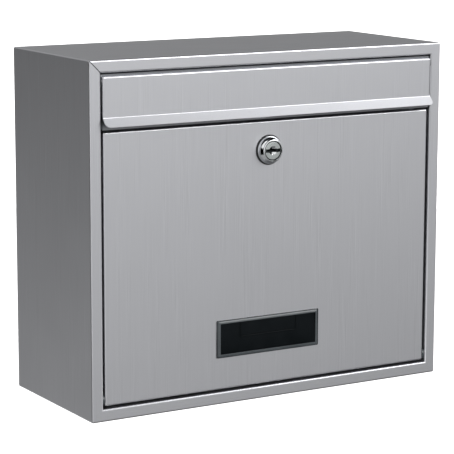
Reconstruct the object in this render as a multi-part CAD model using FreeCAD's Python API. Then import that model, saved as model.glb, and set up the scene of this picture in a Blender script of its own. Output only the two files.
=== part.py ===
import FreeCAD, Part
import math
import os

# Wall mounted mailbox of folded stainless sheet, in millimetres.
# X to the right, Y towards the wall, Z up. The origin is the middle of the wall face.

vector = FreeCAD.Vector

# casing
case_width = 360.0
case_height = 310.0
case_depth = 147.0
sheet = 1.0
bend = 1.6                # outside radius of the folds
flange = 11.0             # width of the front flange
reveal = 14.0             # depth of the return behind the flange
seam = 0.7                # open mitre at the top left corner
back_flange = 12.0        # forward flanges of the back panel
wall_hole_radius = 3.5
wall_hole_spacing_x = 260.0
wall_hole_spacing_z = 200.0

# flap
flap_proud = 1.4          # face in front of the flange
flap_side_gap = 0.9
flap_top_gap = 2.8
flap_face_height = 34.8
flap_side_return = 2.2
flap_top_return = 4.5
flap_drip_height = 1.6    # upstand at the rear of the top return
lip_forward = 6.8
lip_drop = 7.2
lip_corner = 5.0
flap_pivot_depth = 5.8    # pivot behind the flap's face
flap_pivot_drop = 5.0     # pivot below the flap's top edge
flap_ear_radius = 5.0

# cross rail and letter guide
rail_recess = 1.2
rail_below_fold = 10.4
rail_above_fold = 4.8
rail_end_gap = 1.6
rail_depth = 16.8
strike_drop = 17.2        # height of the strike web below the rail's top
rail_tab_height = 13.0
guide_start = 5.0         # front edge of the guide behind the rail's face
guide_shelf = 29.0
guide_slope_depth = 27.0
guide_slope_drop = 34.0
guide_side_gap = 2.0

# door
door_recess = 1.0
door_side_gap = 2.2
door_top_gap = 1.8
door_bottom_gap = 2.4
door_return = 12.0
door_bend = 1.5
door_pivot_depth = 5.0
door_pivot_rise = 5.0

# stops
stop_gap = 0.3            # free air in front of each buffer
flap_buffer_radius = 1.4
flap_buffer_inset = 20.0
flap_buffer_drop = 0.1    # below the rail's top
door_buffer_radius = 3.0
door_buffer_thickness = 1.2
tab_width = 11.0
tab_height = 12.0
tab_leg = 9.5
tab_below_door_top = 24.0

# hinge pins and bushes
running_gap = 0.06
flap_pin_radius = 2.0
flap_bush_radius = 3.2
flap_bush_flange_radius = 4.6
flap_bush_flange = 0.6
flap_pin_head_radius = 3.4
flap_pin_head = 1.2
door_pin_radius = 2.5
door_bush_radius = 3.8
door_bush_flange_radius = 5.0
door_bush_flange = 1.8
door_pin_head_radius = 3.6
door_pin_head = 2.0
bush_tail = 0.8           # bush behind the reveal
pin_tail = 1.7            # pin beyond the bush

# window, centred with the lock a little left of the middle
feature_x = -3.8
window_rise = 45.45       # centre above the door's bottom edge
bezel_width = 105.6
bezel_height = 33.7
bezel_proud = 1.8
bezel_border = 3.0
bezel_edge = 0.5          # thickness at the outer edge
bezel_slope = 2.0         # width of the sloping part of the border
bezel_inner_bevel = 0.4
bezel_lip = 1.0           # thickness of the lip in front of the pane
bezel_overlap = 0.6       # lip over the pane's edge
spigot_wall = 0.7
spigot_gap = 0.2
pane_gap = 0.1
pane_thickness = 2.8
pocket_width = 58.8
pocket_drop = 13.9
pocket_rail = 1.0
pocket_thickness = 0.7
retainer_margin = 5.2
retainer_step = 1.0
retainer_lip = 1.6
stud_radius = 1.5
stud_inset = 3.5
stud_gap = 0.1
stud_length = 5.0
stud_nut_flats = 5.5
stud_nut_height = 2.4

# lock
lock_below_top = 25.7
collar_radius = 12.3
collar_proud = 7.0
collar_edge = 1.2
rim_radius = 9.9
rim_round = 0.9
swell_out = 0.5           # how far the collar's curve bulges outwards and forwards
swell_forward = 0.35
gasket_radius = 13.4
gasket_thickness = 0.5
barrel_radius = 9.5
barrel_flat = 8.0         # half distance over the flats
barrel_length = 17.7
barrel_gap = 0.15
face_radius = 7.9
face_thickness = 2.9
face_recess = 0.6
face_gap = 0.1
plug_radius = 6.2
plug_gap = 0.08
plug_end_gap = 0.3
key_width = 14.6
key_height = 3.0
key_depth = 2.4
keyway_width = 9.0
keyway_depth = 12.0
cup_radius = 3.95
cup_depth = 2.6
washer_radius = 13.0
washer_thickness = 1.0
lock_nut_flats = 24.0
lock_nut_height = 5.0

# cam
cam_thickness = 2.0
cam_clearance = 1.0       # behind the strike web
cam_overlap = 8.3         # engagement over the door's top edge
cam_width = 12.0
cam_hub_radius = 9.0
tail_flats = 7.0
tail_short = 0.2          # square ends short of the cam's rear face
cam_washer_radius = 6.0
cam_washer_thickness = 1.0
screw_radius = 2.0
screw_head_radius = 4.0
screw_head = 2.4
screw_length = 8.0

# planes worked out from the sizes
front_y = -case_depth
opening_x = case_width / 2 - flange
opening_z = case_height / 2 - flange
reveal_back_y = front_y + reveal

flap_face_y = front_y - flap_proud
flap_x = opening_x - flap_side_gap
flap_top_z = opening_z - flap_top_gap
fold_z = flap_top_z - flap_face_height
flap_pivot_y = flap_face_y + flap_pivot_depth
flap_pivot_z = flap_top_z - flap_pivot_drop

rail_face_y = front_y + rail_recess
rail_back_y = rail_face_y + rail_depth
rail_top_z = fold_z + rail_above_fold
rail_bottom_z = fold_z - rail_below_fold
strike_bottom_z = rail_top_z - strike_drop

door_face_y = front_y + door_recess
door_inner_y = door_face_y + sheet
door_back_y = door_face_y + door_return
door_x = opening_x - door_side_gap
door_top_z = rail_bottom_z - door_top_gap
door_bottom_z = -opening_z + door_bottom_gap
door_pivot_y = door_face_y + door_pivot_depth
door_pivot_z = door_bottom_z + door_pivot_rise

window_z = door_bottom_z + window_rise
bezel_x = bezel_width / 2
bezel_z = bezel_height / 2
bezel_face_y = door_face_y - bezel_proud
view_x = bezel_x - bezel_border
view_z = bezel_z - bezel_border
pane_face_y = bezel_face_y + bezel_lip
pane_back_y = pane_face_y + pane_thickness
spigot_inner = bezel_border - bezel_overlap - pane_gap
spigot_outer = spigot_inner - spigot_wall
retainer_back_y = pane_back_y + retainer_step
stud_x = bezel_x + retainer_margin - stud_inset
stud_z = bezel_z + retainer_margin - stud_inset

lock_z = door_top_z - lock_below_top
collar_base_y = door_face_y - gasket_thickness
collar_front_y = collar_base_y - collar_proud
barrel_end_y = collar_base_y + barrel_length
face_y = collar_front_y + face_recess
face_back_y = face_y + face_thickness
cam_front_y = rail_back_y + cam_clearance
cam_back_y = cam_front_y + cam_thickness
cam_reach = lock_below_top + cam_overlap


# shapes shared by the pieces

def box(x0, x1, y0, y1, z0, z1):
    return Part.makeBox(x1 - x0, y1 - y0, z1 - z0, vector(x0, y0, z0))


def centred_box(half_x, half_z, y0, y1, x=0.0, z=0.0):
    return box(x - half_x, x + half_x, y0, y1, z - half_z, z + half_z)


def round_x(radius, x0, x1, y, z):
    return Part.makeCylinder(radius, x1 - x0, vector(x0, y, z), vector(1, 0, 0))


def round_y(radius, y0, y1, x, z):
    return Part.makeCylinder(radius, y1 - y0, vector(x, y0, z), vector(0, 1, 0))


def mirrored(shape):
    return shape.mirror(vector(0, 0, 0), vector(1, 0, 0))


def both_sides(shape):
    return Part.makeCompound([mirrored(shape), shape])


def near(a, b):
    return abs(a - b) < 1e-4


def rounded_block(half_x, z0, z1, y0, y1, radius):
    # a block with its front and depth edges rounded; the rear edges stay sharp
    block = box(-half_x, half_x, y0, y1, z0, z1)
    edges = [edge for edge in block.Edges if not near(edge.CenterOfMass.y, y1)]
    return block.makeFillet(radius, edges)


def tray(half_x, z0, z1, y0, y1, radius):
    # a folded pan of the sheet, open at the rear
    outside = rounded_block(half_x, z0, z1, y0, y1, radius)
    inside = rounded_block(half_x - sheet, z0 + sheet, z1 - sheet, y0 + sheet, y1 + 1, radius - sheet)
    return outside.cut(inside)


def offset_line(points, wall):
    # the same line moved to its right by the wall, with mitred corners
    normals = []
    for (y0, z0), (y1, z1) in zip(points, points[1:]):
        length = math.hypot(y1 - y0, z1 - z0)
        normals.append(((z1 - z0) / length, -(y1 - y0) / length))
    moved = []
    for index, (y, z) in enumerate(points):
        before = normals[max(index - 1, 0)]
        after = normals[min(index, len(normals) - 1)]
        scale = wall / (1 + before[0] * after[0] + before[1] * after[1])
        moved.append((y + (before[0] + after[0]) * scale, z + (before[1] + after[1]) * scale))
    return moved


def folded(points, half_x, radius):
    # a strip of the sheet folded along X; the points run along one face, the wall lies to their right
    back = offset_line(points, sheet)
    outline = points + back[::-1] + points[:1]
    face = Part.Face(Part.makePolygon([vector(-half_x, y, z) for y, z in outline]))
    strip = face.extrude(vector(2 * half_x, 0, 0))
    for index in range(1, len(points) - 1):
        (y0, z0), (y1, z1), (y2, z2) = points[index - 1:index + 2]
        turns_left = (y1 - y0) * (z2 - z1) - (z1 - z0) * (y2 - y1) > 0
        for corner, outer in ((points[index], not turns_left), (back[index], turns_left)):
            edges = [
                edge for edge in strip.Edges
                if near(edge.CenterOfMass.y, corner[0]) and near(edge.CenterOfMass.z, corner[1])
            ]
            strip = strip.makeFillet(radius if outer else radius - sheet, edges)
    return strip


def prism_y(points, y0, y1):
    face = Part.Face(Part.makePolygon([vector(x, y0, z) for x, z in points + points[:1]]))
    return face.extrude(vector(0, y1 - y0, 0))


def hexagon(flats, y0, y1, x, z):
    corner = flats / math.sqrt(3)
    turns = [math.radians(60 * step) for step in range(6)]
    return prism_y([(x + corner * math.cos(turn), z + corner * math.sin(turn)) for turn in turns], y0, y1)


# casing

def make_casing_wrap():
    wrap = tray(case_width / 2, -case_height / 2, case_height / 2, front_y, 0.0, bend)
    opening = centred_box(opening_x, opening_z, front_y - 1, reveal_back_y + 1)
    ring = centred_box(opening_x + sheet, opening_z + sheet, front_y, reveal_back_y).cut(opening)
    wrap = wrap.cut(opening).fuse(ring).removeSplitter()
    for plane_y, grow, radius in ((front_y, 0.0, bend), (front_y + sheet, sheet, bend - sheet)):
        edges = [
            edge for edge in wrap.Edges
            if near(edge.CenterOfMass.y, plane_y)
            and abs(edge.CenterOfMass.x) < opening_x + grow + 0.01
            and abs(edge.CenterOfMass.z) < opening_z + grow + 0.01
        ]
        wrap = wrap.makeFillet(radius, edges)
    pin_hole = round_x(flap_bush_radius, opening_x - 1, opening_x + sheet + 1, flap_pivot_y, flap_pivot_z)
    low_hole = round_x(door_bush_radius, opening_x - 1, opening_x + sheet + 1, door_pivot_y, door_pivot_z)
    for hole in (pin_hole, low_hole):
        wrap = wrap.cut(hole).cut(mirrored(hole))
    return wrap.cut(corner_slit(flange * math.sqrt(2) + 1, front_y + bend)).cut(
        corner_slit((sheet + 0.5) * math.sqrt(2), reveal_back_y + 1))


def corner_slit(length, back_y):
    # the open mitre, from the opening's top left corner outwards
    slit = box(-length, 1.0, front_y - 1, back_y, -seam / 2, seam / 2)
    slit.rotate(vector(0, 0, 0), vector(0, 1, 0), 45)
    slit.translate(vector(-opening_x, 0, opening_z))
    return slit


def make_back_panel():
    half_z = case_height / 2 - sheet
    panel = tray(case_width / 2 - sheet, -half_z, half_z, 0.0, back_flange, bend)
    panel = panel.mirror(vector(0, 0, 0), vector(0, 1, 0))
    for side_x in (-1, 1):
        for side_z in (-1, 1):
            x = side_x * wall_hole_spacing_x / 2
            z = side_z * wall_hole_spacing_z / 2
            panel = panel.cut(round_y(wall_hole_radius, -sheet - 1, 1.0, x, z))
    return panel


def make_cross_rail():
    points = [
        (rail_face_y, rail_bottom_z),
        (rail_face_y, rail_top_z),
        (rail_back_y, rail_top_z),
        (rail_back_y, strike_bottom_z),
    ]
    rail = folded(points, opening_x - rail_end_gap, bend)
    shelf = box(-opening_x, opening_x, rail_face_y + bend + sheet, reveal_back_y - sheet,
                rail_top_z - sheet, rail_top_z)
    tab = box(opening_x - sheet, opening_x, rail_face_y + bend + sheet, reveal_back_y - sheet,
              rail_top_z - rail_tab_height, rail_top_z)
    return rail.fuse([shelf, tab, mirrored(tab)]).removeSplitter()


def make_letter_guide():
    start_y = rail_face_y + guide_start
    shelf_y = start_y + guide_shelf
    top_z = rail_top_z + sheet
    points = [(start_y, top_z), (shelf_y, top_z), (shelf_y + guide_slope_depth, top_z - guide_slope_drop)]
    return folded(points, opening_x - guide_side_gap, bend)


def make_flap_bumpers():
    front = flap_face_y + sheet + stop_gap
    z = rail_top_z - flap_buffer_radius - flap_buffer_drop
    return both_sides(round_y(flap_buffer_radius, front, rail_face_y, flap_x - flap_buffer_inset, z))


def stop_plane():
    return door_back_y + stop_gap + door_buffer_thickness


def make_door_stop_tabs():
    z1 = door_top_z - tab_below_door_top
    z0 = z1 - tab_height
    outer_x = opening_x + 2 * sheet
    plate = box(outer_x - tab_width - sheet, outer_x, stop_plane(), stop_plane() + sheet, z0, z1)
    leg = box(outer_x - sheet, outer_x, stop_plane() + sheet - tab_leg, stop_plane() + sheet, z0, z1)
    return both_sides(plate.fuse(leg).removeSplitter())


def make_door_bumpers():
    z = door_top_z - tab_below_door_top - tab_height / 2
    y0 = door_back_y + stop_gap
    return both_sides(round_y(door_buffer_radius, y0, stop_plane(), door_x - 1.5 * sheet, z))


def make_bushings(bore, radius, flange_radius, flange_width, y, z):
    flange_disc = round_x(flange_radius, opening_x - flange_width, opening_x, y, z)
    barrel = round_x(radius, opening_x, opening_x + sheet + bush_tail, y, z)
    hole = round_x(bore, opening_x - flange_width - 1, opening_x + sheet + bush_tail + 1, y, z)
    return both_sides(flange_disc.fuse(barrel).removeSplitter().cut(hole))


def make_pin(radius, head_radius, head, inner_x, y, z):
    # head inside the leaf, shank through the leaf, the bush and the reveal
    end_x = opening_x + sheet + bush_tail + pin_tail
    shank = round_x(radius, inner_x, end_x, y, z)
    return shank.fuse(round_x(head_radius, inner_x - head, inner_x, y, z)).removeSplitter()


# flap

def make_flap_panel():
    # a pan cut off at the fold, where the lip goes on, with its side returns cut back below the ears
    back_y = flap_face_y + flap_top_return
    below_z = fold_z - flap_face_height
    panel = tray(flap_x, below_z, flap_top_z, flap_face_y, back_y, bend)
    panel = panel.cut(box(-flap_x - 1, flap_x + 1, flap_face_y - 1, back_y + 1, below_z - 1, fold_z + bend))
    ear_z = flap_pivot_z - flap_ear_radius
    panel = panel.cut(box(-flap_x - 1, flap_x + 1, flap_face_y + flap_side_return, back_y + 1,
                          below_z, ear_z))
    drip = box(-flap_x, flap_x, back_y - sheet, back_y, flap_top_z - sheet, flap_top_z + flap_drip_height)
    ear = box(flap_x - sheet, flap_x, flap_face_y + bend, flap_pivot_y, ear_z, flap_top_z - bend)
    ear = ear.fuse(round_x(flap_ear_radius, flap_x - sheet, flap_x, flap_pivot_y, flap_pivot_z))
    lip_line = [
        (flap_face_y - lip_forward, fold_z - lip_drop),
        (flap_face_y, fold_z),
        (flap_face_y, fold_z + bend),
    ]
    lip = folded(lip_line, flap_x, bend)
    tip = [
        edge for edge in lip.Edges
        if edge.CenterOfMass.z < fold_z - lip_drop / 2 and near(abs(edge.CenterOfMass.x), flap_x)
        and edge.Length < sheet + 0.01
    ]
    lip = lip.makeFillet(lip_corner, tip)
    panel = panel.fuse([drip, ear, mirrored(ear), lip]).removeSplitter()
    hole = round_x(flap_pin_radius, flap_x - sheet - 1, flap_x + 1, flap_pivot_y, flap_pivot_z)
    return panel.cut(hole).cut(mirrored(hole))


def make_flap_pin():
    return make_pin(flap_pin_radius, flap_pin_head_radius, flap_pin_head, flap_x - sheet,
                    flap_pivot_y, flap_pivot_z)


# door

def make_door_panel():
    panel = tray(door_x, door_bottom_z, door_top_z, door_face_y, door_back_y, door_bend)
    panel = panel.cut(double_flat(barrel_gap, door_face_y - 1, door_inner_y + 1))
    cut_x = bezel_x - spigot_outer + spigot_gap
    cut_z = bezel_z - spigot_outer + spigot_gap
    panel = panel.cut(centred_box(cut_x, cut_z, door_face_y - 1, door_inner_y + 1, feature_x, window_z))
    hole = round_x(door_pin_radius, door_x - sheet - 1, door_x + 1, door_pivot_y, door_pivot_z)
    return panel.cut(hole).cut(mirrored(hole))


def double_flat(gap, y0, y1):
    # the lock barrel's section: a round with two flats, left and right
    round_part = round_y(barrel_radius + gap, y0, y1, feature_x, lock_z)
    flats = centred_box(barrel_flat + gap, barrel_radius + gap + 1, y0, y1, feature_x, lock_z)
    return round_part.common(flats)


def make_door_pin():
    return make_pin(door_pin_radius, door_pin_head_radius, door_pin_head, door_x - sheet,
                    door_pivot_y, door_pivot_z)


def window_block(inset, y0, y1):
    return centred_box(bezel_x - inset, bezel_z - inset, y0, y1, feature_x, window_z)


def window_outline(inset, y):
    x = bezel_x - inset
    z = bezel_z - inset
    corners = [(-x, -z), (x, -z), (x, z), (-x, z), (-x, -z)]
    return Part.makePolygon([vector(feature_x + dx, y, window_z + dz) for dx, dz in corners])


def make_window_bezel():
    edge_y = door_face_y - bezel_edge
    slope = Part.makeLoft([window_outline(0.0, edge_y), window_outline(bezel_slope, bezel_face_y)], True, True)
    frame = slope.fuse([window_block(0.0, edge_y, door_face_y),
                        window_block(spigot_outer, door_face_y, pane_back_y)]).removeSplitter()
    frame = frame.cut(window_block(spigot_inner, pane_face_y, pane_back_y + 1))
    frame = frame.cut(window_block(bezel_border, bezel_face_y - 1, pane_face_y + 1))
    inner = [
        edge for edge in frame.Edges
        if near(edge.CenterOfMass.y, bezel_face_y)
        and abs(edge.CenterOfMass.x - feature_x) < view_x + 0.01
        and abs(edge.CenterOfMass.z - window_z) < view_z + 0.01
    ]
    return frame.makeChamfer(bezel_inner_bevel, inner)


def make_window_pane():
    return window_block(bezel_border - bezel_overlap, pane_face_y, pane_back_y)


def make_card_pocket():
    # a U of raised rails on the pane, open at the top
    half = pocket_width / 2
    top_z = window_z + view_z
    front = pane_face_y - pocket_thickness
    outer = box(feature_x - half, feature_x + half, front, pane_face_y, top_z - pocket_drop, top_z)
    inner = box(feature_x - half + pocket_rail, feature_x + half - pocket_rail, front - 1, pane_face_y + 1,
                top_z - pocket_drop + pocket_rail, top_z + 1)
    return outer.cut(inner)


def stud_places():
    return [(feature_x + sx * stud_x, window_z + sz * stud_z) for sx in (-1, 1) for sz in (-1, 1)]


def make_window_retainer():
    plate = window_block(-retainer_margin, door_inner_y, retainer_back_y)
    plate = plate.cut(window_block(spigot_outer, door_inner_y - 1, pane_back_y))
    plate = plate.cut(window_block(bezel_border + retainer_lip, door_inner_y - 1, retainer_back_y + 1))
    for x, z in stud_places():
        plate = plate.cut(round_y(stud_radius + stud_gap, door_inner_y - 1, retainer_back_y + 1, x, z))
    return plate


def make_window_studs():
    return Part.makeCompound([
        round_y(stud_radius, door_inner_y, door_inner_y + stud_length, x, z) for x, z in stud_places()
    ])


def make_retainer_nuts():
    nuts = []
    for x, z in stud_places():
        nut = hexagon(stud_nut_flats, retainer_back_y, retainer_back_y + stud_nut_height, x, z)
        bore = round_y(stud_radius, retainer_back_y - 1, retainer_back_y + stud_nut_height + 1, x, z)
        nuts.append(nut.cut(bore))
    return Part.makeCompound(nuts)


# lock

def turned(edges):
    # a closed outline in radius and Y, turned about the lock's axis
    shape = Part.Face(Part.Wire(edges)).revolve(vector(0, 0, 0), vector(0, 1, 0), 360)
    shape = Part.Solid(shape.Shells[0]) if shape.ShapeType != "Solid" else shape
    shape.translate(vector(feature_x, 0, lock_z))
    return shape


def line(start, end):
    return Part.makeLine(vector(start[0], start[1], 0), vector(end[0], end[1], 0))


def curve(start, middle, end):
    points = [vector(r, y, 0) for r, y in (start, middle, end)]
    return Part.Arc(*points).toShape()


def make_lock_housing():
    bore = face_radius + face_gap
    edge_y = collar_base_y - collar_edge
    shoulder = (rim_radius, collar_front_y + rim_round)
    swell = ((collar_radius + rim_radius) / 2 + swell_out, (edge_y + shoulder[1]) / 2 - swell_forward)
    midway = rim_round * (1 - math.sqrt(0.5))
    rim_turn = (rim_radius - midway, collar_front_y + midway)
    rim_flat = (rim_radius - rim_round, collar_front_y)
    collar = turned([
        line((0, collar_base_y), (collar_radius, collar_base_y)),
        line((collar_radius, collar_base_y), (collar_radius, edge_y)),
        curve((collar_radius, edge_y), swell, shoulder),
        curve(shoulder, rim_turn, rim_flat),
        line(rim_flat, (0, collar_front_y)),
        line((0, collar_front_y), (0, collar_base_y)),
    ])
    housing = collar.fuse(double_flat(0.0, collar_base_y, barrel_end_y)).removeSplitter()
    seat_y = face_back_y + plug_end_gap
    housing = housing.cut(round_y(bore, collar_front_y - 1, seat_y, feature_x, lock_z))
    return housing.cut(round_y(plug_radius + plug_gap, seat_y - 1, barrel_end_y + 1, feature_x, lock_z))


def lock_ring(radius, y0, y1):
    return round_y(radius, y0, y1, feature_x, lock_z).cut(double_flat(0.0, y0 - 1, y1 + 1))


def make_lock_gasket():
    return lock_ring(gasket_radius, collar_base_y, door_face_y)


def make_lock_washer():
    return lock_ring(washer_radius, door_inner_y, door_inner_y + washer_thickness)


def make_lock_nut():
    y0 = door_inner_y + washer_thickness
    nut = hexagon(lock_nut_flats, y0, y0 + lock_nut_height, feature_x, lock_z)
    return nut.cut(round_y(barrel_radius, y0 - 1, y0 + lock_nut_height + 1, feature_x, lock_z))


def make_lock_plug():
    plug = round_y(face_radius, face_y, face_back_y, feature_x, lock_z)
    plug = plug.fuse(round_y(plug_radius, face_back_y, barrel_end_y, feature_x, lock_z))
    tail = centred_box(tail_flats / 2, tail_flats / 2, barrel_end_y, cam_back_y - tail_short,
                       feature_x, lock_z)
    plug = plug.fuse(tail).removeSplitter()
    plug = plug.cut(centred_box(key_width / 2, key_height / 2, face_y - 1, face_y + key_depth,
                                feature_x, lock_z))
    plug = plug.cut(centred_box(keyway_width / 2, key_height / 2, face_y - 1, face_y + keyway_depth,
                                feature_x, lock_z))
    plug = plug.cut(round_y(cup_radius, face_y - 1, face_y + cup_depth, feature_x, lock_z))
    screw_end_y = cam_back_y - tail_short - screw_length
    return plug.cut(round_y(screw_radius, screw_end_y, cam_back_y, feature_x, lock_z))


def make_lock_cam():
    # unlocked, the arm points right; turned a quarter it stands behind the strike web
    end_x = feature_x + cam_reach - cam_width / 2
    cam = round_y(cam_hub_radius, cam_front_y, cam_back_y, feature_x, lock_z)
    cam = cam.fuse(box(feature_x, end_x, cam_front_y, cam_back_y,
                       lock_z - cam_width / 2, lock_z + cam_width / 2))
    cam = cam.fuse(round_y(cam_width / 2, cam_front_y, cam_back_y, end_x, lock_z)).removeSplitter()
    return cam.cut(centred_box(tail_flats / 2, tail_flats / 2, cam_front_y - 1, cam_back_y + 1,
                               feature_x, lock_z))


def make_cam_washer():
    washer = round_y(cam_washer_radius, cam_back_y, cam_back_y + cam_washer_thickness, feature_x, lock_z)
    return washer.cut(round_y(screw_radius, cam_back_y - 1, cam_back_y + cam_washer_thickness + 1,
                              feature_x, lock_z))


def make_cam_screw():
    seat_y = cam_back_y + cam_washer_thickness
    shank = round_y(screw_radius, cam_back_y - tail_short - screw_length, seat_y, feature_x, lock_z)
    head = round_y(screw_head_radius, seat_y, seat_y + screw_head, feature_x, lock_z)
    return shank.fuse(head).removeSplitter()


def main():
    flap_pin = make_flap_pin()
    door_pin = make_door_pin()
    pieces = {
        "casing_wrap": make_casing_wrap(),
        "back_panel": make_back_panel(),
        "cross_rail": make_cross_rail(),
        "letter_guide": make_letter_guide(),
        "flap_bumpers": make_flap_bumpers(),
        "door_stop_tabs": make_door_stop_tabs(),
        "door_bumpers": make_door_bumpers(),
        "flap_bushings": make_bushings(flap_pin_radius + running_gap, flap_bush_radius,
                                       flap_bush_flange_radius, flap_bush_flange, flap_pivot_y, flap_pivot_z),
        "door_bushings": make_bushings(door_pin_radius + running_gap, door_bush_radius,
                                       door_bush_flange_radius, door_bush_flange, door_pivot_y, door_pivot_z),
        "flap_panel": make_flap_panel(),
        "flap_pin_left": mirrored(flap_pin),
        "flap_pin_right": flap_pin,
        "door_panel": make_door_panel(),
        "door_pin_left": mirrored(door_pin),
        "door_pin_right": door_pin,
        "window_bezel": make_window_bezel(),
        "window_pane": make_window_pane(),
        "card_pocket": make_card_pocket(),
        "window_retainer": make_window_retainer(),
        "window_studs": make_window_studs(),
        "retainer_nuts": make_retainer_nuts(),
        "lock_housing": make_lock_housing(),
        "lock_gasket": make_lock_gasket(),
        "lock_washer": make_lock_washer(),
        "lock_nut": make_lock_nut(),
        "lock_plug": make_lock_plug(),
        "lock_cam": make_lock_cam(),
        "cam_washer": make_cam_washer(),
        "cam_screw": make_cam_screw(),
    }
    os.makedirs("parts", exist_ok=True)
    for name, shape in pieces.items():
        shape.exportStep(os.path.join("parts", name + ".step"))
        print(name, len(shape.Solids), shape.isValid(), round(shape.Volume, 1))


main()
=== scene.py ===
import math
import bmesh
import bpy
from mathutils import Matrix, Vector


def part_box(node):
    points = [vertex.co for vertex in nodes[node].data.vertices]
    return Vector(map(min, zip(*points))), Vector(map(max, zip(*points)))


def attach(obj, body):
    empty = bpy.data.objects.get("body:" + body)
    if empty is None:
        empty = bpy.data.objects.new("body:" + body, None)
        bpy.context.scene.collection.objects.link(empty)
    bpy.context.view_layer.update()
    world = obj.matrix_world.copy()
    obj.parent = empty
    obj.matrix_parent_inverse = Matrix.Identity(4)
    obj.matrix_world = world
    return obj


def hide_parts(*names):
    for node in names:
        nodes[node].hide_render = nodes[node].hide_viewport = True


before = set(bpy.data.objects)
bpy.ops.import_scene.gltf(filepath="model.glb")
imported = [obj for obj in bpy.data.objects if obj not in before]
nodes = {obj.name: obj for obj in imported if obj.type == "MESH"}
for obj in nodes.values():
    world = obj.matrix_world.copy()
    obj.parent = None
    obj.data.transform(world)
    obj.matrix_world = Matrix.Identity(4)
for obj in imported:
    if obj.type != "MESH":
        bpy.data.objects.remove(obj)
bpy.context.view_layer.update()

scene = bpy.context.scene
mm = 0.001

noiseLow, noiseHigh = 0.3, 0.7     # the part of a noise texture's range that is spread over the full effect

wrapLow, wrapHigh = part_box("casing_wrap")


def linear(hexColour):
    # sRGB hex to the linear colour that the nodes take
    channels = [int(hexColour[i:i + 2], 16) / 255 for i in (1, 3, 5)]
    return [c / 12.92 if c <= 0.04045 else ((c + 0.055) / 1.055) ** 2.4 for c in channels] + [1.0]


def addNode(tree, kind, inputs=None, **settings):
    # adds a node; each input takes a plain value, another node or one of its outputs
    node = tree.nodes.new("ShaderNode" + kind)
    for name, value in settings.items():
        setattr(node, name, value)
    for key, value in (inputs or {}).items():
        if isinstance(value, bpy.types.Node):
            value = [socket for socket in value.outputs if socket.enabled][0]
        if isinstance(value, bpy.types.NodeSocket):
            tree.links.new(value, node.inputs[key])
        else:
            node.inputs[key].default_value = value
    return node


def newTree(material):
    material.use_nodes = True
    material.node_tree.nodes.clear()
    return material.node_tree


brushed = {
    "light": "#d9dade",      # cool grey of 1.4301 sheet, ground with a belt
    "dark": "#c4c5c9",
    "lineWidth": 0.55,       # mm; grit 240 leaves lines of about 0.1, drawn coarser so that they show
    "lineLength": 45.0,
    "clusterWidth": 9.0,     # mm; where the belt bit harder
    "clusterLength": 120.0,
    "cloud": 70.0,           # mm; slow change over a sheet
    "smooth": 0.30,
    "rough": 0.42,
    "bumpDepth": 0.02,       # mm
    "bumpStrength": 0.10,
    "bite": 1.7,             # how far the scratches swing the shade
    "clusterFrom": 0.46,     # noise below this is lightly brushed, above clusterTo fully
    "clusterTo": 0.68,
    "lightBite": 0.15,
    "driftFrom": 0.40,
    "driftTo": 0.60,
    "folded": "#85878b",     # painted shade on folds and inner parts that sit behind the front face
    "shadeStart": 0.2,        # mm behind the front face, where the painted shade begins
    "shadeEnd": 0.7,
}


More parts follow.
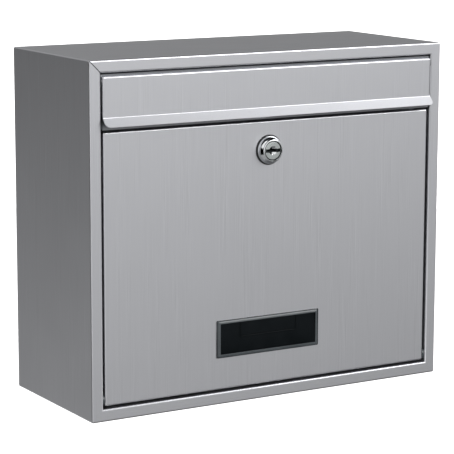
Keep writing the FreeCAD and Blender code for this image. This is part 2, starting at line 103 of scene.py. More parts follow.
def brushedStainless(name, grain, shadeFolds=False):
    # fine parallel scratches in loose clusters, so that reflections smear across them
    material = bpy.data.materials.new(name)
    tree = newTree(material)
    place = addNode(tree, "TexCoord").outputs["Object"]
    axes = addNode(tree, "SeparateXYZ", {"Vector": place}).outputs
    beyondSide = addNode(tree, "Math", {0: axes["X"]}, operation="ABSOLUTE")
    beyondTop = addNode(tree, "Math", {0: axes["Z"]}, operation="ABSOLUTE")
    beyondSide = addNode(tree, "Math", {0: beyondSide, 1: wrapHigh.x}, operation="SUBTRACT")
    beyondTop = addNode(tree, "Math", {0: beyondTop, 1: wrapHigh.z}, operation="SUBTRACT")
    # 1 on the top and bottom strips, whose grain runs level
    level = addNode(tree, "Math", {0: beyondTop, 1: beyondSide}, operation="GREATER_THAN")
    across = {"upright": 0.0, "level": 1.0, "round": level}[grain]

    def scratches(width, length, detail):
        layers = []
        for size in ((width, width, length), (length, width, width)):
            scale = [1 / (edge * mm) for edge in size]
            vector = addNode(tree, "Mapping", {"Vector": place, "Scale": scale})
            inputs = {"Vector": vector, "Scale": 1.0, "Detail": detail, "Roughness": 0.6}
            layers.append(addNode(tree, "TexNoise", inputs))
        return addNode(tree, "Mix", {0: across, 2: layers[0], 3: layers[1]}, data_type="FLOAT")

    lines = scratches(brushed["lineWidth"], brushed["lineLength"], 2.0)
    clusters = scratches(brushed["clusterWidth"], brushed["clusterLength"], 1.0)
    cloud = addNode(tree, "TexNoise", {"Vector": place, "Scale": 1 / (brushed["cloud"] * mm), "Detail": 1.0})
    strong = addNode(tree, "MapRange", {"Value": clusters, "From Min": brushed["clusterFrom"],
                                        "From Max": brushed["clusterTo"], "To Min": brushed["lightBite"]})
    centred = addNode(tree, "Math", {0: lines, 1: 0.5}, operation="SUBTRACT")
    bitten = addNode(tree, "Math", {0: centred, 1: strong}, operation="MULTIPLY")
    drift = addNode(tree, "MapRange", {"Value": cloud, "From Min": noiseLow, "From Max": noiseHigh,
                                       "To Min": brushed["driftFrom"], "To Max": brushed["driftTo"]})
    shade = addNode(tree, "Math", {0: bitten, 1: brushed["bite"], 2: drift}, operation="MULTIPLY_ADD",
                    use_clamp=True)
    colour = addNode(tree, "Mix", {0: shade, 6: linear(brushed["dark"]), 7: linear(brushed["light"])},
                     data_type="RGBA")
    # painted shade: parts that lie behind the casing's front face fade to the darker shade colour
    if shadeFolds:
        shadeMask = addNode(tree, "MapRange", {"Value": axes["Y"],
                                            "From Min": wrapLow.y + brushed["shadeStart"] * mm,
                                            "From Max": wrapLow.y + brushed["shadeEnd"] * mm})
        colour = addNode(tree, "Mix", {0: shadeMask, 6: colour, 7: linear(brushed["folded"])}, data_type="RGBA")
    rough = addNode(tree, "MapRange", {"Value": shade, "To Min": brushed["rough"],
                                       "To Max": brushed["smooth"]})
    bump = addNode(tree, "Bump", {"Height": bitten, "Strength": brushed["bumpStrength"],
                                  "Distance": brushed["bumpDepth"] * mm})
    shader = addNode(tree, "BsdfPrincipled", {"Base Color": colour, "Roughness": rough, "Normal": bump,
                                              "Metallic": 1.0})
    addNode(tree, "OutputMaterial", {"Surface": shader})
    return material


finishes = {
    # zinc die casting, polished and chrome plated: a near mirror with a faint orange peel
    "polishedChrome": {"dark": "#dcdfe1", "light": "#e9ebec", "metallic": 1.0, "ior": 1.5, "smooth": 0.05,
                       "rough": 0.09, "grain": 0.6, "drift": 8.0, "bumpStrength": 0.05, "bumpDepth": 0.01},
    # nickel plated and tumbled: soft broad highlights, faint mottle
    "satinNickel": {"dark": "#bcc2c1", "light": "#ccd1d0", "metallic": 1.0, "ior": 1.5, "smooth": 0.24,
                    "rough": 0.36, "grain": 0.35, "drift": 6.0, "bumpStrength": 0.15, "bumpDepth": 0.02},
    # electroplated bright zinc on turned and pressed steel: bluish, blotchy
    "brightZinc": {"dark": "#b4bac1", "light": "#d2d6da", "metallic": 1.0, "ior": 1.5, "smooth": 0.20,
                   "rough": 0.38, "grain": 0.5, "drift": 3.0, "bumpStrength": 0.15, "bumpDepth": 0.02},
    # the same die casting, coloured dark: painted shade in the lock's recesses
    "recessShadeZinc": {"dark": "#1d2021", "light": "#33383a", "metallic": 0.6, "ior": 1.5, "smooth": 0.40,
                  "rough": 0.60, "grain": 0.4, "drift": 2.0, "bumpStrength": 0.2, "bumpDepth": 0.03},
    # injection moulded ABS, fine spark-eroded mould texture: dark grey with a soft sheen
    "mouldedAbs": {"dark": "#33383b", "light": "#3b4043", "metallic": 0.0, "ior": 1.53, "smooth": 0.26,
                   "rough": 0.38, "grain": 0.25, "drift": 15.0, "bumpStrength": 0.25, "bumpDepth": 0.02},
    # cast acrylic, smoked almost black: glossy, faint wiping marks
    "smokedAcrylic": {"dark": "#06090b", "light": "#0d1012", "metallic": 0.0, "ior": 1.49, "smooth": 0.06,
                      "rough": 0.14, "specular": 0.07, "grain": 6.0, "drift": 25.0, "bumpStrength": 0.02,
                      "bumpDepth": 0.02},
    # moulded EPDM rubber: matt, slightly dusty
    "mouldedRubber": {"dark": "#17181a", "light": "#232527", "metallic": 0.0, "ior": 1.52, "smooth": 0.62,
                      "rough": 0.80, "grain": 0.3, "drift": 5.0, "bumpStrength": 0.3, "bumpDepth": 0.03},
}


def plainFinish(name, values):
    # colour that drifts slowly, roughness and bump from a fine grain
    material = bpy.data.materials.new(name)
    tree = newTree(material)
    place = addNode(tree, "TexCoord").outputs["Object"]
    grain = addNode(tree, "TexNoise", {"Vector": place, "Scale": 1 / (values["grain"] * mm), "Detail": 3.0})
    drift = addNode(tree, "TexNoise", {"Vector": place, "Scale": 1 / (values["drift"] * mm), "Detail": 2.0})
    blotch = addNode(tree, "MapRange", {"Value": drift, "From Min": noiseLow, "From Max": noiseHigh})
    colour = addNode(tree, "Mix", {0: blotch, 6: linear(values["dark"]), 7: linear(values["light"])},
                     data_type="RGBA")
    rough = addNode(tree, "MapRange", {"Value": grain, "From Min": noiseLow, "From Max": noiseHigh,
                                       "To Min": values["smooth"], "To Max": values["rough"]})
    bump = addNode(tree, "Bump", {"Height": grain, "Strength": values["bumpStrength"],
                                  "Distance": values["bumpDepth"] * mm})
    shader = addNode(tree, "BsdfPrincipled", {"Base Color": colour, "Roughness": rough, "Normal": bump,
                                              "Metallic": values["metallic"], "IOR": values["ior"],
                                              "Specular IOR Level": values.get("specular", 0.5)})
    addNode(tree, "OutputMaterial", {"Surface": shader})
    return material


finish = {name: plainFinish(name, values) for name, values in finishes.items()}
for grain in ("upright", "level", "round"):
    finish[grain] = brushedStainless("brushedStainless" + grain.capitalize(), grain)
# painted shade behind the front face, on the flap's folds and on the inner rails
finish["folded"] = brushedStainless("brushedStainlessFoldShade", "upright", True)
finish["inner"] = brushedStainless("brushedStainlessInnerShade", "level", True)
print("materials made")

nodeFinish = {
    "round": ["casing_wrap"],
    "inner": ["cross_rail", "letter_guide"],
    "upright": ["back_panel", "door_stop_tabs", "door_panel"],
    "folded": ["flap_panel"],
    "polishedChrome": ["lock_housing"],
    "satinNickel": ["lock_plug"],
    "mouldedAbs": ["window_bezel", "window_retainer", "flap_bushings", "door_bushings"],
    "smokedAcrylic": ["window_pane", "card_pocket"],
    "mouldedRubber": ["flap_bumpers", "door_bumpers", "lock_gasket"],
    "brightZinc": ["flap_pin_left", "flap_pin_right", "door_pin_left", "door_pin_right", "window_studs",
                   "retainer_nuts", "lock_washer", "lock_nut", "lock_cam", "cam_washer", "cam_screw"],
}
for look, names in nodeFinish.items():
    for name in names:
        nodes[name].data.materials.clear()
        nodes[name].data.materials.append(finish[look])

# the cut edges are deburred and brushed round; width and weld are in mm, the angle in degrees
sheetEdge = {"width": 0.35, "segments": 2, "angle": 40.0, "weld": 0.01}


def roundSheetEdges(node):
    weld = node.modifiers.new("weld", "WELD")
    weld.merge_threshold = sheetEdge["weld"] * mm
    bevel = node.modifiers.new("deburred", "BEVEL")
    bevel.width = sheetEdge["width"] * mm
    bevel.segments = sheetEdge["segments"]
    bevel.limit_method = "ANGLE"
    bevel.angle_limit = math.radians(sheetEdge["angle"])
    bevel.harden_normals = False
    shading = node.modifiers.new("faceWeighted", "WEIGHTED_NORMAL")
    shading.keep_sharp = True


for name in ("flap_panel", "door_panel", "casing_wrap"):
    nodes[name].data.shade_smooth()
    roundSheetEdges(nodes[name])
print("CAD pieces finished")

# place in metres, angles in degrees, lens and sensor in mm
view = {"place": (-0.9409, -1.6472, 0.3176), "heading": 30.79, "down": 10.19, "roll": 0.15, "lens": 161.5,
        "sensor": 36.0, "reach": 100.0}


def makeCamera():
    camera = bpy.data.objects.new("camera", bpy.data.cameras.new("camera"))
    camera.data.lens = view["lens"]
    camera.data.sensor_width = view["sensor"]
    camera.data.clip_end = view["reach"]
    turn = (Matrix.Rotation(-math.radians(view["heading"]), 4, "Z")
            @ Matrix.Rotation(math.radians(90 - view["down"]), 4, "X")
            @ Matrix.Rotation(math.radians(view["roll"]), 4, "Z"))
    camera.matrix_world = Matrix.Translation(view["place"]) @ turn
    scene.collection.objects.link(camera)
    scene.camera = camera


stagePlan = {"floorSize": 60.0, "floorHeight": -3.0, "domeRadius": 18.0, "paint": "#f7f7f7", "glow": 0.8}


def makeStage():
    # a plain pale floor and a pale dome behind it; neither shows up in the metal, the room below does
    paint = bpy.data.materials.new("palePaint")
    tree = newTree(paint)
    shader = addNode(tree, "BsdfPrincipled", {"Base Color": linear(stagePlan["paint"]), "Roughness": 0.9,
                                              "Emission Color": linear("#ffffff"),
                                              "Emission Strength": stagePlan["glow"]})
    addNode(tree, "OutputMaterial", {"Surface": shader})
    floor, dome = bmesh.new(), bmesh.new()
    bmesh.ops.create_grid(floor, x_segments=1, y_segments=1, size=stagePlan["floorSize"])
    bmesh.ops.translate(floor, verts=floor.verts, vec=(0.0, 0.0, stagePlan["floorHeight"]))
    bmesh.ops.create_icosphere(dome, subdivisions=4, radius=stagePlan["domeRadius"])
    bmesh.ops.reverse_faces(dome, faces=dome.faces)
    for name, shape in (("floor", floor), ("dome", dome)):
        mesh = bpy.data.meshes.new(name)
        shape.to_mesh(mesh)
        shape.free()
        mesh.materials.append(paint)
        backdrop = bpy.data.objects.new(name, mesh)
        scene.collection.objects.link(backdrop)
        backdrop.visible_glossy = False
        backdrop.visible_shadow = False
        backdrop.visible_diffuse = name == "floor"


room = {
    # axis, height from and to, brightness there
    "front": ("Z", -0.42, 0.12, 0.37, 1.00),
    "backLow": ("Z", -0.38, 0.02, 0.44, 0.085),
    "backHigh": ("Z", 0.00, 0.45, 0.0, 0.36),
    "turnToBack": ("Y", -0.30, 0.30, 0.0, 1.0),
    "right": ("X", 0.36, 0.74, 0.0, -0.32),
    "panels": [
        # towards, full within and gone beyond (degrees), brightness
        ((0.56, -0.68, 0.50), 7.0, 25.0, 1.65),      # window in front, high
        ((-0.76, -0.63, -0.10), 8.0, 20.0, 0.55),    # window at the left
        ((0.74, -0.17, 0.65), 9.0, 20.0, 1.20),      # ceiling, right
        ((0.30, -0.10, 0.95), 6.0, 24.0, -0.60),     # ceiling, dark part
        ((0.45, 0.42, 0.79), 14.0, 26.0, -0.50),     # ceiling, dark part at the back
        ((-0.98, -0.06, -0.12), 16.0, 30.0, -1.00),  # dark doorway at the left
        ((-0.93, 0.06, 0.30), 3.0, 7.0, 1.10),       # small lamps that the chrome picks up
        ((-0.50, 0.12, 0.85), 7.0, 13.0, 1.20),
        ((0.35, 0.10, -0.93), 18.0, 44.0, -0.40),    # dark floor under the box
    ],
}


def makeRoom():
    # a soft room: bright in front, darker behind, with a few broad panels for the bends and the chrome
    world = bpy.data.worlds.new("studio")
    scene.world = world
    tree = newTree(world)
    towards = addNode(tree, "TexCoord").outputs["Generated"]
    parts = addNode(tree, "SeparateXYZ", {"Vector": towards}).outputs
    soft = {}
    for name in ("front", "backLow", "backHigh", "turnToBack", "right"):
        axis, start, end, low, high = room[name]
        soft[name] = addNode(tree, "MapRange", {"Value": parts[axis], "From Min": start, "From Max": end,
                                                "To Min": low, "To Max": high},
                             interpolation_type="SMOOTHSTEP")
    front = addNode(tree, "Math", {0: soft["front"], 1: soft["right"]}, operation="ADD")
    back = addNode(tree, "Math", {0: soft["backLow"], 1: soft["backHigh"]}, operation="ADD")
    value = addNode(tree, "Mix", {0: soft["turnToBack"], 2: front, 3: back}, data_type="FLOAT")
    for direction, full, gone, brightness in room["panels"]:
        near = addNode(tree, "VectorMath", {0: towards, 1: Vector(direction).normalized()},
                       operation="DOT_PRODUCT").outputs["Value"]
        panel = addNode(tree, "MapRange", {"Value": near, "From Min": math.cos(math.radians(gone)),
                                           "From Max": math.cos(math.radians(full)), "To Max": brightness},
                        interpolation_type="SMOOTHSTEP")
        value = addNode(tree, "Math", {0: value, 1: panel}, operation="ADD")
    value = addNode(tree, "Math", {0: value, 1: 0.0}, operation="MAXIMUM")
    glow = addNode(tree, "Background", {"Color": value, "Strength": 1.0})
    addNode(tree, "OutputWorld", {"Surface": glow})


lamps = {
    "keyLamp": {"place": (1.9, -2.6, 1.7), "width": 1.6, "height": 1.2, "power": 34.0},
    "topLamp": {"place": (-0.5, -0.4, 2.2), "width": 1.4, "height": 1.0, "power": 3.0},
}


def makeLamps():
    for name, values in lamps.items():
        light = bpy.data.lights.new(name, "AREA")
        light.shape = "RECTANGLE"
        light.size = values["width"]
        light.size_y = values["height"]
        light.energy = values["power"]
        lamp = bpy.data.objects.new(name, light)
        lamp.location = values["place"]
        lamp.rotation_euler = (-Vector(values["place"])).to_track_quat("-Z", "Y").to_euler()
        scene.collection.objects.link(lamp)


makeCamera()
makeStage()
makeRoom()
makeLamps()
scene.view_settings.view_transform = "Standard"
print("camera, floor and light made")


sharpAngle = 46.0    # degrees; an edge that turns further is shaded sharp


def sharpEdges(shape, angle=30.0):
    return [edge for edge in shape.edges if len(edge.link_faces) == 2
            and edge.calc_face_angle(0.0) > math.radians(angle)]


def soften(shape, width, segments=2, angle=30.0):
    bmesh.ops.bevel(shape, geom=sharpEdges(shape, angle), offset=width * mm, segments=segments, profile=0.5,
                    affect="EDGES", clamp_overlap=True, material=-1)


def tidied(shape):
    bmesh.ops.remove_doubles(shape, verts=shape.verts, dist=0.002 * mm)
    bmesh.ops.recalc_face_normals(shape, faces=shape.faces)
    return shape


def lathe(outline, centre, axis="Y", steps=64):
    # turns (radius, distance) points in mm about an axis through the centre
    along = Vector((1, 0, 0)) if axis == "X" else Vector((0, 1, 0))
    across = Vector((0, 0, 1)) if axis == "X" else Vector((1, 0, 0))
    shape = bmesh.new()
    points = [shape.verts.new(Vector(centre) + across * radius * mm + along * distance * mm)
              for radius, distance in outline]
    rim = [shape.edges.new(pair) for pair in zip(points, points[1:])]
    if min(outline[0][0], outline[-1][0]) > 0:      # an outline off the axis is closed to a ring
        rim.append(shape.edges.new((points[-1], points[0])))
    bmesh.ops.spin(shape, geom=points + rim, cent=centre, axis=along, angle=math.tau, steps=steps,
                   use_merge=True)
    return tidied(shape)


def block(low, high):
    shape = bmesh.new()
    bmesh.ops.create_cube(shape, size=1.0)
    bmesh.ops.scale(shape, vec=Vector(high) - Vector(low), verts=shape.verts)
    bmesh.ops.translate(shape, vec=(Vector(high) + Vector(low)) / 2, verts=shape.verts)
    return shape


def asMesh(name, shape):
    mesh = bpy.data.meshes.new(name)
    shape.to_mesh(mesh)
    shape.free()
    return mesh


def combined(shape, other, operation):
    # boolean of two closed shapes
    holders = [bpy.data.objects.new("work", asMesh("work", part)) for part in (shape, other)]
    for holder in holders:
        scene.collection.objects.link(holder)
    boolean = holders[0].modifiers.new("work", "BOOLEAN")
    boolean.operation = operation
    boolean.object = holders[1]
    boolean.solver = "EXACT"
    graph = bpy.context.evaluated_depsgraph_get()
    mesh = bpy.data.meshes.new_from_object(holders[0].evaluated_get(graph))
    result = bmesh.new()
    result.from_mesh(mesh)
    for holder in holders:
        bpy.data.objects.remove(holder)
    return tidied(result)


def joined(shapes):
    total = bmesh.new()
    for shape in shapes:
        mesh = asMesh("work", shape)
        total.from_mesh(mesh)
        bpy.data.meshes.remove(mesh)
    return total


def place(name, shape, body, slot, look, replaced=(), inner=()):
    # makes the finished piece and lets it ride; inner names the finishes of the faces marked 1, 2 and so on
    mesh = asMesh(name, shape)
    mesh.shade_smooth()
    mesh.set_sharp_from_angle(angle=math.radians(sharpAngle))
    for wanted in (look, *inner):
        mesh.materials.append(finish[wanted])
    piece = bpy.data.objects.new(name, mesh)
    scene.collection.objects.link(piece)
    shading = piece.modifiers.new("faceWeighted", "WEIGHTED_NORMAL")
    shading.keep_sharp = True
    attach(piece, body)
    if replaced:
        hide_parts(*replaced)
    return piece


nutChamfer = 0.5     # mm, at both mouths of the thread


def hexagonNut(flats, low, high, bore, centre):
    # a hexagon along Y with its corners turned off at both ends
    x, z = centre
    prism = bmesh.new()
    turned = Matrix.Rotation(math.radians(90), 4, "X")
    bmesh.ops.create_cone(prism, cap_ends=True, segments=6, radius1=flats / math.sqrt(3) * mm,
                          radius2=flats / math.sqrt(3) * mm, depth=(high - low) * mm, matrix=turned)
    bmesh.ops.translate(prism, verts=prism.verts, vec=(x, (low + high) / 2 * mm, z))
    corner = flats / math.sqrt(3)
    drop = (corner - flats / 2) * 0.62
    tool = lathe([(0, low), (flats / 2 * 0.96, low), (corner + 0.1, low + drop), (corner + 0.1, high - drop),
                  (flats / 2 * 0.96, high), (0, high)], (x, 0.0, z), steps=48)
    nut = combined(prism, tool, "INTERSECT")
    mouth = bore + nutChamfer
    drill = lathe([(0, low - 1), (mouth, low - 1), (mouth, low), (bore, low + nutChamfer),
                   (bore, high - nutChamfer), (mouth, high), (mouth, high + 1), (0, high + 1)],
                  (x, 0.0, z), steps=40)
    return combined(nut, drill, "DIFFERENCE")


collarLow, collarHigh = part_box("lock_housing")
plugLow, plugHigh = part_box("lock_plug")
gasketLow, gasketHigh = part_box("lock_gasket")
lockNutLow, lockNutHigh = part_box("lock_nut")
lockX = (gasketLow.x + gasketHigh.x) / 2
lockZ = (gasketLow.z + gasketHigh.z) / 2
lockAxis = (lockX, 0.0, lockZ)

lock = {
    "baseRadius": 12.3,
    "baseEdge": 1.0,
    "undercut": 1.0,         # the base is rounded under, so the black gasket shows as a ring
    "rimRadius": 9.9,
    "rimRound": 0.9,
    "mouth": 8.70,           # the mouth is opened wider than the bore, so a dark ring stands round the plug; painted shade on its inner faces adds to it
    "mouthDepth": 1.6,
    "bore": 8.0,
    "seat": 3.8,             # depth of the plug's seat behind the rim
    "plugBore": 6.28,
    "barrelRadius": 9.5,
    "barrelFlat": 8.0,
    "threadPitch": 1.0,
    "threadDepth": 0.55,
    "threadStart": 1.4,      # plain neck behind the gasket
    "threadEnd": 2.4,        # neck and plain end together
    "flankFrom": 0.12,       # one turn: foot of the flank, crest, foot of the other flank
    "crestFrom": 0.44,
    "crestTo": 0.56,
    "flankTo": 0.88,
    "endChamfer": 0.5,
    "bellySwell": 0.55,      # how far the belly stands out from a straight cone
    "gasketHole": 9.6,
    "washerHole": 9.7,
    "nutBore": 9.0,
}


def makeCollar():
    front = collarLow.y / mm
    base = gasketLow.y / mm
    end = collarHigh.y / mm
    outline = [(lock["bore"], front + lock["seat"]), (lock["bore"], front + lock["mouthDepth"] + 0.15),
               (lock["mouth"], front + lock["mouthDepth"]), (lock["mouth"], front + 0.25),
               (lock["mouth"] + 0.22, front)]
    for step in range(5):                                           # rolled rim
        turn = math.radians(22.5 * step)
        outline.append((lock["rimRadius"] - lock["rimRound"] * (1 - math.sin(turn)),
                        front + lock["rimRound"] * (1 - math.cos(turn))))
    start, finishAt = front + lock["rimRound"], base - lock["baseEdge"]
    for step in range(1, 9):                                        # belly down to the base
        along = step / 8
        swell = math.sin(math.pi * along) * lock["bellySwell"]
        outline.append((lock["rimRadius"] + (lock["baseRadius"] - lock["rimRadius"]) * along + swell,
                        start + (finishAt - start) * along))
    for step in range(1, 6):                                        # rounded under towards the gasket
        turn = math.radians(18 * step)
        outline.append((lock["baseRadius"] - lock["undercut"] * (1 - math.cos(turn)),
                        finishAt + lock["baseEdge"] * math.sin(turn)))
    outline += [(lock["barrelRadius"] - 0.6, base), (lock["plugBore"], base),
                (lock["plugBore"], front + lock["seat"])]
    collar = lathe(outline, lockAxis, steps=96)
    for face in collar.faces:
        middle = face.calc_center_median()
        fromAxis = math.hypot(middle.x - lockX, middle.z - lockZ)
        if fromAxis < (lock["mouth"] + 0.02) * mm and middle.y > collarLow.y + 0.3 * mm:
            face.material_index = 1         # painted shade in the seam round the plug
    root = lock["barrelRadius"] - lock["threadDepth"]
    thread = [(lock["plugBore"], base), (root, base), (root, base + lock["threadStart"])]
    turnsOfThread = int((end - base - lock["threadEnd"]) / lock["threadPitch"])
    for turn in range(turnsOfThread):
        at = base + lock["threadStart"] + turn * lock["threadPitch"]
        thread += [(root, at + lock["flankFrom"]), (lock["barrelRadius"], at + lock["crestFrom"]),
                   (lock["barrelRadius"], at + lock["crestTo"]), (root, at + lock["flankTo"])]
    thread += [(root, end - lock["endChamfer"]), (root - lock["endChamfer"], end), (lock["plugBore"], end)]
    barrel = lathe(thread, lockAxis, steps=64)
    for side in (-1, 1):
        flatAt = (lockX + side * lock["barrelFlat"] * mm, 0, 0)
        everything = barrel.verts[:] + barrel.edges[:] + barrel.faces[:]
        cut = bmesh.ops.bisect_plane(barrel, geom=everything, plane_co=flatAt, plane_no=(side, 0, 0),
                                     clear_outer=True)
        openEdges = [item for item in cut["geom_cut"] if isinstance(item, bmesh.types.BMEdge)]
        bmesh.ops.holes_fill(barrel, edges=openEdges, sides=0)
    place("lockCollar", joined([collar, tidied(barrel)]), "door", "polished_chrome", "polishedChrome",
          ["lock_housing"], ["recessShadeZinc"])


plug = {
    "faceRadius": 7.9,
    "faceThickness": 2.9,
    "bodyRadius": 6.2,
    "slotWidth": 15.0,
    "slotHeight": 3.0,
    "slotDepth": 2.4,
    "keywayWidth": 9.0,
    "keywayDepth": 12.0,
    "cupRadius": 3.95,
    "pitRadius": 1.7,
    "cupDepth": 1.9,
    "tail": 7.0,
    "bodyLength": 24.1,
    "edge": 0.3,             # chamfer at the face and at the rear
    "slotEdge": 0.10,
    "wafers": 5,
    "waferPitch": 1.9,
    "waferFirst": 1.2,       # behind the slot's floor
    "waferHalf": 3.6,        # half the width
    "waferRise": 0.75,       # how far each one stands into the keyway
    "waferThickness": 0.6,
    "screwHole": 1.5,
    "screwDepth": 9,
}


def makePlug():
    front = plugLow.y / mm
    back = front + plug["faceThickness"]
    end = front + plug["bodyLength"]
    face, body, edge = plug["faceRadius"], plug["bodyRadius"], plug["edge"]
    solid = lathe([(0, front), (face - edge, front), (face - 0.09, front + 0.09), (face, front + edge),
                   (face, back), (body, back), (body, end - edge), (body - edge, end), (0, end)],
                  lockAxis, steps=96)
    cup, pit = plug["cupRadius"], plug["pitRadius"]
    sunk = front + plug["cupDepth"]
    bowl = lathe([(0, front - 1), (cup, front - 1), (cup, front + 0.15), (pit + 0.7, sunk - 0.35),
                  (pit, sunk + 0.1), (pit, sunk + 1.5), (0, sunk + 1.5)], lockAxis, steps=48)
    solid = combined(solid, bowl, "DIFFERENCE")
    for width, deep in (("slotWidth", "slotDepth"), ("keywayWidth", "keywayDepth")):
        half = Vector((plug[width] / 2, 0, plug["slotHeight"] / 2)) * mm
        cutter = block((lockX - half.x, (front - 1) * mm, lockZ - half.z),
                       (lockX + half.x, (front + plug[deep]) * mm, lockZ + half.z))
        solid = combined(solid, cutter, "DIFFERENCE")
    soften(solid, plug["slotEdge"], 2, 50.0)
    for facet in solid.faces:
        middle = facet.calc_center_median()
        fromAxis = math.hypot(middle.x - lockX, middle.z - lockZ)
        behindFace = middle.y > (front + 0.05) * mm
        inSlot = abs(middle.z - lockZ) < (plug["slotHeight"] / 2 + 0.12) * mm and behindFace
        if inSlot or (middle.y > (front + 0.4) * mm and fromAxis > 5 * mm):
            facet.material_index = 1        # painted shade in the keyway and on the side wall
        elif behindFace and middle.y < back * mm and fromAxis < cup * mm:
            facet.material_index = 2        # the cup is burnished by the key
    half = plug["tail"] / 2 * mm
    tail = block((lockX - half, end * mm, lockZ - half), (lockX + half, plugHigh.y, lockZ + half))
    soften(tail, edge)
    bore, deepest = plug["screwHole"], end + plug["screwDepth"]
    hole = lathe([(0, end + 0.5), (bore, end + 0.5), (bore, deepest), (0, deepest)], lockAxis, steps=24)
    tail = combined(tail, hole, "DIFFERENCE")
    place("lockPlug", joined([solid, tail]), "lock_core", "satin_nickel", "satinNickel", ["lock_plug"],
          ["recessShadeZinc", "polishedChrome"])
    wafers = []
    for number in range(plug["wafers"]):                            # sprung plates that the key lifts
        y = (front + plug["slotDepth"] + plug["waferFirst"] + number * plug["waferPitch"]) * mm
        side = 1 if number % 2 else -1
        low = lockZ + side * plug["slotHeight"] / 2 * mm
        top = low - side * plug["waferRise"] * mm
        plate = block((lockX - plug["waferHalf"] * mm, y, min(low, top)),
                      (lockX + plug["waferHalf"] * mm, y + plug["waferThickness"] * mm, max(low, top)))
        soften(plate, 0.1)
        wafers.append(plate)
    # the wafers deep in the keyway are coloured with painted shade
    place("lockWafers", joined(wafers), "lock_core", "satin_nickel", "recessShadeZinc")


def makeGasket():
    front, back = gasketLow.y / mm, gasketHigh.y / mm
    radius = (gasketHigh.x - gasketLow.x) / 2 / mm
    hole = lock["gasketHole"]
    ring = lathe([(hole, front), (radius - 0.2, front), (radius - 0.03, front + 0.12), (radius, front + 0.25),
                  (radius - 0.03, back - 0.12), (radius - 0.15, back), (hole, back)], lockAxis, steps=96)
    place("lockGasket", ring, "door", "black_rubber", "mouldedRubber", ["lock_gasket"])


def makeLockFixings():
    flats = (lockNutHigh.z - lockNutLow.z) / mm
    nut = hexagonNut(flats, lockNutLow.y / mm, lockNutHigh.y / mm, lock["nutBore"], (lockX, lockZ))
    place("lockNut", nut, "door", "bright_zinc", "brightZinc", ["lock_nut"])
    low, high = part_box("lock_washer")
    radius = (high.x - low.x) / 2 / mm
    y0, y1 = low.y / mm, high.y / mm
    hole = lock["washerHole"]
    ring = lathe([(hole, y0), (radius - 0.1, y0), (radius, y0 + 0.2), (radius, y1 - 0.35),
                  (radius - 0.12, y1 - 0.1), (radius - 0.4, y1), (hole, y1)], lockAxis, steps=96)
    place("lockWasher", ring, "door", "bright_zinc", "brightZinc", ["lock_washer"])


camScrew = {"headRadius": 4.0, "shank": 1.5, "recess": 3.6, "recessWidth": 0.95, "recessDepth": 1.5,
            "turned": 20, "washerHole": 1.7}


def makeCamScrew():
    low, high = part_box("cam_screw")
    washerLow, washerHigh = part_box("cam_washer")
    seat, top = washerHigh.y / mm, high.y / mm
    rise = top - seat
    head = [(0, low.y / mm), (camScrew["shank"] - 0.3, low.y / mm), (camScrew["shank"], low.y / mm + 0.3),
            (camScrew["shank"], seat), (camScrew["headRadius"], seat),
            (camScrew["headRadius"], seat + rise * 0.45)]
    for step in range(1, 6):                                        # pan head
        turn = math.radians(18 * step)
        head.append((camScrew["headRadius"] * (0.55 + 0.45 * math.cos(turn)) if step < 5 else 0.0,
                     seat + rise * (0.45 + 0.55 * math.sin(turn))))
    screw = lathe(head, lockAxis, steps=48)
    for turn in (0, 90):                                            # cross recess
        halfLong, halfWide = camScrew["recess"] / 2 * mm, camScrew["recessWidth"] / 2 * mm
        arm = block((-halfLong, top * mm - camScrew["recessDepth"] * mm, -halfWide),
                    (halfLong, top * mm + mm, halfWide))
        inner = [vert for vert in arm.verts if vert.co.y < top * mm]
        bmesh.ops.scale(arm, vec=(0.35, 1, 0.55), verts=inner, space=Matrix.Translation((0, 0, 0)))
        turned = Matrix.Rotation(math.radians(turn + camScrew["turned"]), 3, "Y")
        bmesh.ops.rotate(arm, cent=(0, 0, 0), matrix=turned, verts=arm.verts)
        bmesh.ops.translate(arm, vec=(lockX, 0, lockZ), verts=arm.verts)
        screw = combined(screw, arm, "DIFFERENCE")
    place("camScrew", screw, "lock_core", "bright_zinc", "brightZinc", ["cam_screw"])
    radius = (washerHigh.x - washerLow.x) / 2 / mm
    y0, y1 = washerLow.y / mm, washerHigh.y / mm
    hole = camScrew["washerHole"]
    ring = lathe([(hole, y0), (radius - 0.1, y0), (radius, y0 + 0.2), (radius - 0.08, y1 - 0.15),
                  (radius - 0.3, y1), (hole, y1)], lockAxis, steps=64)
    place("camWasher", ring, "lock_core", "bright_zinc", "brightZinc", ["cam_washer"])


makeCollar()
makePlug()
makeGasket()
makeLockFixings()
makeCamScrew()
print("lock made")


bezelLow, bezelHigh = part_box("window_bezel")
paneLow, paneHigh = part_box("window_pane")
pocketLow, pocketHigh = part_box("card_pocket")
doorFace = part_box("door_panel")[0].y
windowX = (bezelLow.x + bezelHigh.x) / 2
windowZ = (bezelLow.z + bezelHigh.z) / 2

bezel = {
    "cornerRadius": 1.2,
    "edge": 0.5,
    "slopeWidth": 1.7,
    "flatWidth": 0.9,
    "innerBevel": 0.4,
    "innerCorner": 0.5,
    "border": 3.0,
    "spigotInset": 0.9,      # the spigot fits the cut-out in the door
}


def flatFace(low, high, y):
    # a flat rectangle facing the front
    shape = bmesh.new()
    bmesh.ops.create_grid(shape, x_segments=1, y_segments=1, size=0.5)
    upright = Matrix.Rotation(math.radians(90), 3, "X")
    bmesh.ops.rotate(shape, cent=(0, 0, 0), matrix=upright, verts=shape.verts)
    bmesh.ops.scale(shape, vec=(high.x - low.x, 1, high.z - low.z), verts=shape.verts)
    bmesh.ops.translate(shape, vec=((high.x + low.x) / 2, y, (high.z + low.z) / 2), verts=shape.verts)
    return shape


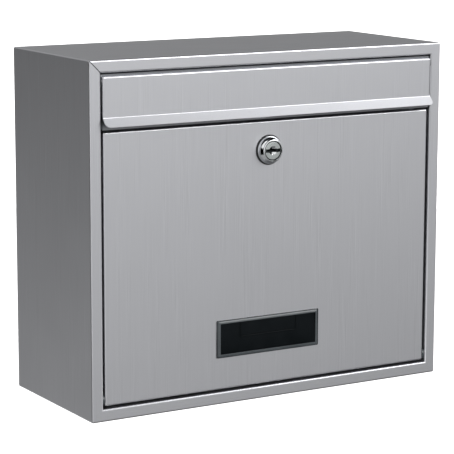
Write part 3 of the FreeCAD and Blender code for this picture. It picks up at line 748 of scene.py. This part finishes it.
def stepIn(shape, face, width, forward):
    # insets a face, or extrudes it where no width is given, and moves it towards the front
    if width:
        bmesh.ops.inset_individual(shape, faces=[face], thickness=width * mm, depth=0.0, use_even_offset=True)
    else:
        face = bmesh.ops.extrude_discrete_faces(shape, faces=[face])["faces"][0]
    bmesh.ops.translate(shape, vec=(0, -forward * mm, 0), verts=face.verts)
    return face


def roundCorners(shape, low, high, near, far, radius):
    # rounds the edges that run along a corner's diagonal, between two distances from the corner
    chosen = []
    for edge in sharpEdges(shape, 20.0):
        reach = [[min(abs(vert.co[axis] - low[axis]), abs(vert.co[axis] - high[axis])) / mm
                  for axis in (0, 2)] for vert in edge.verts]
        if all(abs(x - z) < 0.02 and near - 0.02 < x < far + 0.02 for x, z in reach):
            chosen.append(edge)
    bmesh.ops.bevel(shape, geom=chosen, offset=radius * mm, segments=4, profile=0.5, affect="EDGES",
                    clamp_overlap=False, material=-1)


def makeBezel():
    shape = flatFace(bezelLow, bezelHigh, doorFace)
    face = list(shape.faces)[0]
    back = face.copy()
    proud = (doorFace - bezelLow.y) / mm
    deep = (bezelHigh.y - bezelLow.y) / mm
    face = stepIn(shape, face, 0, bezel["edge"])
    face = stepIn(shape, face, bezel["slopeWidth"], proud - bezel["edge"])
    face = stepIn(shape, face, bezel["flatWidth"], 0.0)
    face = stepIn(shape, face, bezel["innerBevel"], -bezel["innerBevel"])
    face = stepIn(shape, face, 0, bezel["innerBevel"] - deep)
    back = stepIn(shape, back, bezel["spigotInset"], 0.0)
    back = stepIn(shape, back, 0, proud - deep)
    back = stepIn(shape, back, bezel["border"] - bezel["spigotInset"], 0.0)
    bmesh.ops.delete(shape, geom=[face, back], context="FACES_ONLY")
    tidied(shape)
    roundCorners(shape, bezelLow, bezelHigh, 0.0, bezel["slopeWidth"], bezel["cornerRadius"])
    roundCorners(shape, bezelLow, bezelHigh, bezel["slopeWidth"] + bezel["flatWidth"], bezel["border"],
                 bezel["innerCorner"])
    soften(shape, 0.12, 2, 28.0)
    place("windowBezel", shape, "door", "black_abs", "mouldedAbs", ["window_bezel"])


def makePane():
    border = Vector((bezel["border"], 0, bezel["border"])) * mm
    pane = block(Vector((bezelLow.x, paneLow.y, bezelLow.z)) + border,
                 Vector((bezelHigh.x, paneHigh.y, bezelHigh.z)) - border)
    place("windowPane", pane, "door", "smoked_acrylic", "smokedAcrylic", ["window_pane"])


pocketRail = 1.0    # mm


def makeCardPocket():
    rail = pocketRail * mm
    front, back = pocketLow.y, pocketHigh.y
    bars = [((pocketLow.x, pocketLow.z), (pocketLow.x + rail, pocketHigh.z)),
            ((pocketHigh.x - rail, pocketLow.z), (pocketHigh.x, pocketHigh.z)),
            ((pocketLow.x + rail, pocketLow.z), (pocketHigh.x - rail, pocketLow.z + rail))]
    shape = None
    for (x0, z0), (x1, z1) in bars:
        bar = block((x0, front, z0), (x1, back, z1))
        shape = combined(shape, bar, "UNION") if shape else bar
    soften(shape, 0.28, 3, 40.0)
    place("cardPocket", shape, "door", "smoked_acrylic", "smokedAcrylic", ["card_pocket"])


stud = {"radius": 1.5, "x": 54.5, "z": 18.55, "pitch": 0.5, "depth": 0.25, "nutFlats": 5.5,
        "neck": 1.0, "endGap": 0.4}


def makeStuds():
    studLow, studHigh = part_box("window_studs")
    nutLow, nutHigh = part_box("retainer_nuts")
    y0, y1 = studLow.y / mm, studHigh.y / mm
    studs, nuts = [], []
    for sideX in (-1, 1):
        for sideZ in (-1, 1):
            centre = (windowX + sideX * stud["x"] * mm, 0.0, windowZ + sideZ * stud["z"] * mm)
            root = stud["radius"] - stud["depth"]
            outline = [(0, y0), (stud["radius"], y0), (stud["radius"], y0 + stud["neck"])]
            at = y0 + stud["neck"]
            while at + stud["pitch"] < y1 - stud["endGap"]:
                outline += [(root, at + 0.25), (stud["radius"], at + 0.45), (stud["radius"], at + 0.5)]
                at += stud["pitch"]
            outline += [(root, at + 0.2), (root, y1 - 0.3), (root - 0.35, y1), (0, y1)]
            studs.append(lathe(outline, centre, steps=24))
            nuts.append(hexagonNut(stud["nutFlats"], nutLow.y / mm, nutHigh.y / mm, stud["radius"] - 0.1,
                                   (centre[0], centre[2])))
    place("windowStuds", joined(studs), "door", "bright_zinc", "brightZinc", ["window_studs"])
    place("retainerNuts", joined(nuts), "door", "bright_zinc", "brightZinc", ["retainer_nuts"])


makeBezel()
makePane()
makeCardPocket()
makeStuds()
print("window made")


pins = {"flap": {"radius": 2.0, "head": 1.2}, "door": {"radius": 2.5, "head": 2.0}}
pinDome = 0.8        # share of the head's thickness that is domed
pinChamfer = 0.4     # mm, at the far end


def makePins():
    # rivets with domed heads
    for body, hand in (("flap", "Left"), ("flap", "Right"), ("door", "Left"), ("door", "Right")):
        name = body + "_pin_" + hand.lower()
        low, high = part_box(name)
        centre = (0.0, (low.y + high.y) / 2, (low.z + high.z) / 2)
        side = -1 if low.x < 0 else 1
        inner, outer = sorted((abs(low.x) / mm, abs(high.x) / mm))
        headRadius = (high.z - low.z) / 2 / mm
        values = pins[body]
        rise = values["head"]
        outline = [(0, inner)]
        for step in range(1, 6):
            turn = math.radians(18 * step)
            outline.append((headRadius * math.sin(turn), inner + rise * (1 - math.cos(turn)) * pinDome))
        shank = values["radius"]
        outline += [(headRadius, inner + rise), (shank, inner + rise), (shank, outer - pinChamfer),
                    (shank - pinChamfer, outer), (0, outer)]
        shape = lathe([(radius, side * along) for radius, along in outline], centre, "X", 48)
        place(body + "Pin" + hand, shape, body, "bright_zinc", "brightZinc", [name])


makePins()


bumperDomes = {"flap": 0.7, "door": 0.6}    # share of the thickness that is domed


def makeBumpers():
    # glued rubber dots
    for leaf, dome in bumperDomes.items():
        low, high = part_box(leaf + "_bumpers")
        radius = (high.z - low.z) / 2 / mm
        front, back = low.y / mm, high.y / mm
        thick = back - front
        shapes = []
        for side in (-1, 1):
            centre = (side * (high.x - radius * mm), 0.0, (low.z + high.z) / 2)
            outline = [(0, back), (radius, back)]
            for step in range(5):
                turn = math.radians(18 * step)
                outline.append((radius * math.cos(turn),
                                back - (1 - dome) * thick - dome * thick * math.sin(turn)))
            shapes.append(lathe(outline + [(0, front)], centre, steps=32))
        place(leaf + "Bumpers", joined(shapes), "casing", "black_rubber", "mouldedRubber",
              [leaf + "_bumpers"])


makeBumpers()
print("pins and bumpers made")
